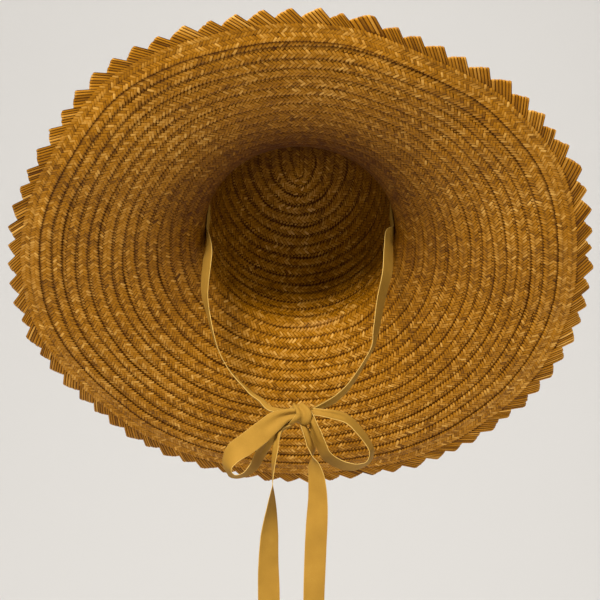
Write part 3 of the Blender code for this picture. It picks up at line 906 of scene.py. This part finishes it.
def add_ribbon(name, sections, material, replaced):
    """A ribbed ribbon along a smooth curve: middle, width direction and share of the width a section."""
    points = np.array([section[0] for section in sections])
    wide = unit(np.array([section[1] for section in sections], float))
    share = np.array([section[2] for section in sections], float)
    curve, place = smooth_route(points, SPAN_SAMPLES)
    reached = np.append(0.0, np.cumsum(np.linalg.norm(np.diff(curve, axis=0), axis=1)))
    count = 2 * round(reached[-1] / RIB_PITCH)
    stops = np.linspace(0, reached[-1], count + 1)

    def sampled(values):
        return read_columns(read_columns(values, np.arange(len(sections)), place), reached, stops)

    middle = read_columns(curve, reached, stops)
    along = unit(np.gradient(middle, axis=0))
    across = sampled(wide)
    across = unit(across - along * np.sum(across * along, axis=1, keepdims=True))
    outward = np.cross(across, along)
    drawn = np.clip(sampled(share[:, None])[:, 0], NARROWEST, 1.0)
    spans = len(RIBBON_STATIONS) - 1

    def lay(u, v):
        row = np.round(v * count).astype(int)
        spot = np.array(RIBBON_STATIONS)[np.round(u * spans).astype(int)]
        rib = np.where(np.abs(spot) < SELVEDGE, RIB_HEIGHT * (row % 2), RIB_HEIGHT * 0.5)
        fold = PLEAT_HEIGHT * np.sqrt(1 - drawn[row] ** 2) * np.cos(2 * math.pi * PLEATS * spot)
        lateral = across[row] * (spot * RIBBON_WIDTH * drawn[row])[:, None]
        return middle[row] + lateral + outward[row] * (rib + fold)[:, None]

    mesh = mesh_from(laid_grid(spans, count, lay), name, as_laid=True)
    piece = finish_piece(name, mesh, material, replaced)
    wall = piece.modifiers.new("wall", "SOLIDIFY")
    wall.thickness = RIBBON_THICKNESS
    wall.offset = 0.0


def knot_place(side, forward, up):
    """A place measured from the knot's middle."""
    return np.array((KNOT_SIDE + side, -KNOT_FORWARD - forward, up - KNOT_DROP))


def add_tie(name, side, route, entry, material):
    """A tie, sewn flat inside the crown, along its route and into the knot."""
    sections = []
    sewn_wide = (0, -math.cos(LEAN_BACK), math.sin(LEAN_BACK))
    for share in (1.0, 0.5, 0.0):
        place = on_hat(OPENING - SEWN_LENGTH * share, -SEWN_DEPTH, math.pi / 2)
        sections.append((np.array((side * place[0], place[1], place[2])), sewn_wide, 1.0))
    for out, forward, down, *wide, share in route:
        place = np.array((side * out * HEAD_WIDTH / 2, -forward * KNOT_FORWARD, -down * KNOT_DROP))
        sections.append((place, wide, share))
    back, up, *wide, share = entry
    place = knot_place(side * (KNOT_WIDTH / 2 + KNOT_GAP), -back * KNOT_DEPTH, up * KNOT_HEIGHT)
    sections.append((place, wide, share))
    add_ribbon("ribbon_" + name, sections, material, (name,))


def add_loop(name, side, route, material):
    sections = []
    for out, forward, up, *wide, share in route:
        beside = KNOT_WIDTH / 2 + KNOT_GAP + out * LOOP_REACH
        sections.append((knot_place(side * beside, forward * LOOP_REACH, up * LOOP_REACH), wide, share))
    add_ribbon("ribbon_" + name, sections, material, (name,))


def add_tail(name, route, material):
    sections = []
    for sideways, forward, down, *wide, share in route:
        below = KNOT_HEIGHT / 2 + KNOT_GAP + down * TAIL_LENGTH
        sections.append((knot_place(sideways * TAIL_LENGTH, forward * TAIL_LENGTH, -below), wide, share))
    add_ribbon("ribbon_" + name, sections, material, (name,))


def add_knot(material):
    """A soft heart with the ribbon's turn round it."""
    bm = bmesh.new()
    bm.loops.layers.uv.new("UVMap")
    bmesh.ops.create_uvsphere(bm, u_segments=32, v_segments=20, radius=1.0, calc_uvs=True)
    for vert in bm.verts:
        x, y, z = vert.co
        fold = 1 + HEART_FOLD_DEPTH * math.cos(HEART_FOLDS * math.atan2(z, x) + 3 * y)
        vert.co = knot_place(x * KNOT_WIDTH / 2 * fold, -y * HEART_DEPTH, z * HEART_HEIGHT * fold)
    finish_piece("bow_heart", mesh_from(bm, "bow_heart"), material, ("bow_knot",))
    sections = []
    for degrees, sideways, radius, share in KNOT_WRAP:
        turn = math.radians(degrees)
        forward = radius * HEART_DEPTH * math.sin(turn)
        up = radius * HEART_HEIGHT * math.cos(turn)
        sections.append((knot_place(sideways, forward, up), (1.0, 0.0, 0.0), share))
    add_ribbon("bow_wrap", sections, material, ())


# Materials


class Value:
    """A shader socket that can be used in expressions."""

    def __init__(self, tree, socket):
        self.tree = tree
        self.socket = socket

    def math(self, operation, other=None, swapped=False):
        node = self.tree.nodes.new("ShaderNodeMath")
        node.operation = operation
        pair = [self] if other is None else [self, other]
        for place, item in enumerate(reversed(pair) if swapped else pair):
            if isinstance(item, Value):
                self.tree.links.new(item.socket, node.inputs[place])
            else:
                node.inputs[place].default_value = item
        return Value(self.tree, node.outputs[0])

    def __add__(self, other):
        return self.math("ADD", other)

    __radd__ = __add__

    def __mul__(self, other):
        return self.math("MULTIPLY", other)

    __rmul__ = __mul__

    def __sub__(self, other):
        return self.math("SUBTRACT", other)

    def __rsub__(self, other):
        return self.math("SUBTRACT", other, swapped=True)

    def __pow__(self, other):
        return self.math("POWER", other)

    def __abs__(self):
        return self.math("ABSOLUTE")

    def clamped(self):
        node = self.math("MULTIPLY", 1.0)
        node.socket.node.use_clamp = True
        return node


class Finish:
    """A material under construction: its shader and one method that adds any node."""

    def __init__(self, name, **sockets):
        self.material = bpy.data.materials.new(name)
        self.material.use_nodes = True
        self.tree = self.material.node_tree
        self.shader = self.tree.nodes["Principled BSDF"]
        for socket, value in sockets.items():
            self.shader.inputs[socket.replace("_", " ")].default_value = value

    def node(self, kind, output=0, settings=(), **sockets):
        node = self.tree.nodes.new("ShaderNode" + kind)
        for setting, value in dict(settings).items():
            setattr(node, setting, value)
        for name, value in sockets.items():
            socket = node.inputs[name.replace("_", " ")]
            if isinstance(value, Value):
                self.tree.links.new(value.socket, socket)
            else:
                socket.default_value = value
        return Value(self.tree, node.outputs[output])

    def ramp(self, factor, stops):
        node = self.tree.nodes.new("ShaderNodeValToRGB")
        self.tree.links.new(factor.socket, node.inputs[0])
        band = node.color_ramp
        while len(band.elements) < len(stops):
            band.elements.new(1.0)
        for element, (place, colour) in zip(band.elements, stops):
            element.position = place
            element.color = (*colour, 1.0)
        return Value(self.tree, node.outputs[0])

    def tint(self, factor, first, second):
        node = self.tree.nodes.new("ShaderNodeMix")
        node.data_type = "RGBA"
        for place, item in ((0, factor), (6, first), (7, second)):
            if isinstance(item, Value):
                self.tree.links.new(item.socket, node.inputs[place])
            else:
                node.inputs[place].default_value = item if place == 0 else (*item, 1.0)
        return Value(self.tree, node.outputs[2])

    def parts(self, vector):
        """A vector's x, y and z."""
        node = self.tree.nodes.new("ShaderNodeSeparateXYZ")
        self.tree.links.new(vector.socket, node.inputs[0])
        return [Value(self.tree, output) for output in node.outputs]

    def feed(self, socket, value):
        self.tree.links.new(value.socket, self.shader.inputs[socket])

    def relief(self, height, strength, distance):
        bump = self.node("Bump", Strength=strength, Distance=distance, Height=height)
        self.feed("Normal", bump)


def straw_finish():
    """Straws with a tone and streaks each, and painted shade at their ends, their sides and from the shade
    attribute.
    """
    finish = Finish(
        "straw", Roughness=STRAW_ROUGHNESS, Specular_IOR_Level=0.16, Specular_Tint=(1.0, 0.80, 0.45, 1.0)
    )
    where = finish.node("TexCoord", "Object")
    tone = finish.node("Attribute", "Fac", settings={"attribute_name": "tone"})
    along, across, _ = finish.parts(finish.node("UVMap", settings={"uv_map": "UVMap"}))
    stretched = finish.node(
        "CombineXYZ", X=along * 0.6 + tone * 37.0, Y=across * 5.0 + tone * 91.0, Z=tone * 53.0
    )
    streaks = finish.node("TexNoise", "Fac", Vector=stretched, Scale=1.0, Detail=3.0, Roughness=0.6)
    patches = finish.node("TexNoise", "Fac", Vector=where, Scale=16.0, Detail=3.0, Roughness=0.6)
    # Painted shade at each straw's ends and long sides, where it dips under its crossings and meets the
    # next straw
    ends = abs(along - 0.5) * 2.0
    sides = abs(across - 0.5) * 2.0
    shade = finish.node("Attribute", "Fac", settings={"attribute_name": "shade"})
    level = tone * TONE_WEIGHT + streaks * STREAK_WEIGHT + patches * PATCH_WEIGHT - EVEN_DARKNESS
    level = level - ends**6 * PAINTED_SHADE_WEIGHT - sides**5 * PAINTED_SHADE_WEIGHT - shade * PAINTED_SHADE_WEIGHT
    straws = finish.ramp(level.clamped(), STRAW_COLOURS)
    finish.feed("Base Color", finish.tint((shade * SHADE_TINT).clamped(), straws, STRAW_SHADE_COLOUR))
    finish.feed("Roughness", (STRAW_ROUGHNESS + 0.25 - streaks * 0.4 + shade * 0.4).clamped())
    finish.relief(streaks, 0.5, 0.0003)
    return finish.material


def core_finish():
    """The dark body of a plait, as it shows in the gaps between its straws."""
    finish = Finish(
        "straw_shadow", Roughness=1.0, Specular_IOR_Level=0.02, Specular_Tint=(1.0, 0.7, 0.3, 1.0)
    )
    where = finish.node("TexCoord", "Object")
    grain = finish.node("TexNoise", "Fac", Vector=where, Scale=900.0, Detail=2.0)
    finish.feed("Base Color", finish.ramp(grain, BODY_COLOURS))
    return finish.material


def ribbon_finish():
    """Woven ribbon, with a painted highlight along its two edges."""
    finish = Finish(
        "ribbon_weave", Roughness=0.7, Specular_IOR_Level=0.12, Specular_Tint=(1.0, 0.85, 0.5, 1.0)
    )
    where = finish.node("TexCoord", "Object")
    across = finish.parts(finish.node("UVMap", settings={"uv_map": "UVMap"}))[0]
    # A painted highlight along both selvedges
    rim = abs(across - 0.5) * 2.0
    soft = finish.node("TexNoise", "Fac", Vector=where, Scale=60.0, Detail=3.0)
    fine = finish.node("TexNoise", "Fac", Vector=where, Scale=2600.0, Detail=1.0)
    level = (rim**14 * 0.5 + soft * 0.5 + fine * 0.3).clamped()
    finish.feed("Base Color", finish.ramp(level, RIBBON_COLOURS))
    finish.relief(fine, 0.3, 0.0002)
    return finish.material


# Stage, light and camera


def add_light(name, place, size, power, colour):
    """A round soft light, turned so that its -Z points at what the lights aim at."""
    data = bpy.data.lights.new(name, "AREA")
    data.shape = "DISK"
    data.size = size
    data.energy = power
    data.color = colour
    light = bpy.data.objects.new(name, data)
    light.location = place
    x, y, z = unit(np.array(LIGHT_AIM) - np.array(place))
    light.rotation_euler = (math.acos(-z), 0.0, math.atan2(-x, y))
    bpy.context.scene.collection.objects.link(light)


def add_lights():
    bpy.context.scene.view_settings.view_transform = "Standard"
    world = bpy.data.worlds.new("studio")
    bpy.context.scene.world = world
    world.use_nodes = True
    background = world.node_tree.nodes["Background"]
    background.inputs["Color"].default_value = WORLD_COLOUR
    background.inputs["Strength"].default_value = WORLD_STRENGTH
    for light in LIGHTS:
        add_light(*light)


def add_camera():
    data = bpy.data.cameras.new("camera")
    data.sensor_width = CAMERA_SENSOR
    data.lens = CAMERA_LENS
    data.clip_start = CAMERA_CLIP_START
    camera = bpy.data.objects.new("camera", data)
    camera.location = CAMERA_PLACE
    camera.rotation_euler = (math.pi / 2, 0.0, 0.0)
    bpy.context.scene.collection.objects.link(camera)
    bpy.context.scene.camera = camera


def add_stage():
    """A pale floor that curves up into a wall behind the hat."""
    bend = WALL_BACK - BEND_START
    rest_of_wall = WALL_TOP - FLOOR_HEIGHT - bend

    def lay(u, v):
        turn = np.clip((v - FLOOR_SHARE) / BEND_SHARE, 0, 1) * math.pi / 2
        on_floor = FLOOR_FRONT + (BEND_START - FLOOR_FRONT) * v / FLOOR_SHARE
        y = np.where(v < FLOOR_SHARE, on_floor, BEND_START + bend * np.sin(turn))
        z = FLOOR_HEIGHT + bend * (1 - np.cos(turn))
        z = np.where(v > WALL_START, z + rest_of_wall * (v - WALL_START) / (1 - WALL_START), z)
        return np.stack(((u - 0.5) * BACKDROP_WIDTH, y, z), -1)

    mesh = mesh_from(laid_grid(2, 60, lay), "floor")
    mesh.materials.append(Finish("backdrop", Base_Color=(*BACKDROP_COLOUR, 1.0), Roughness=0.9).material)
    mesh.shade_smooth()
    floor = bpy.data.objects.new("floor", mesh)
    bpy.context.scene.collection.objects.link(floor)


def main():
    add_camera()
    add_stage()
    add_lights()
    straw = straw_finish()
    core = core_finish()
    plait_core("crown_rows", SPIRAL.first, 0.0, core, ("crown",))
    plait_core("brim_rows", 0.0, SPIRAL.last, core, ("brim",))
    straw_cover("crown_straws_outside", SPIRAL.first, 0.0, 1, straw, 1, BANDS + 1)
    straw_cover("crown_straws_inside", SPIRAL.first, 0.0, -1, straw, 2)
    straw_cover("brim_straws_outside", 0.0, SPIRAL.last, 1, straw, 3)
    straw_cover("brim_straws_underneath", 0.0, SPIRAL.last, -1, straw, 4)
    edge_core(core)
    edge_points(straw)
    edge_cover("edge_straws_outside", 1, straw, 5)
    edge_cover("edge_straws_underneath", -1, straw, 6)
    ribbon = ribbon_finish()
    add_knot(ribbon)
    add_tie("tie_left", -1, TIE_LEFT_ROUTE, TIE_LEFT_ENTRY, ribbon)
    add_tie("tie_right", 1, TIE_RIGHT_ROUTE, TIE_RIGHT_ENTRY, ribbon)
    add_loop("bow_loop_left", -1, LOOP_LEFT_ROUTE, ribbon)
    add_loop("bow_loop_right", 1, LOOP_RIGHT_ROUTE, ribbon)
    add_tail("tail_left", TAIL_LEFT_ROUTE, ribbon)
    add_tail("tail_right", TAIL_RIGHT_ROUTE, ribbon)


main()
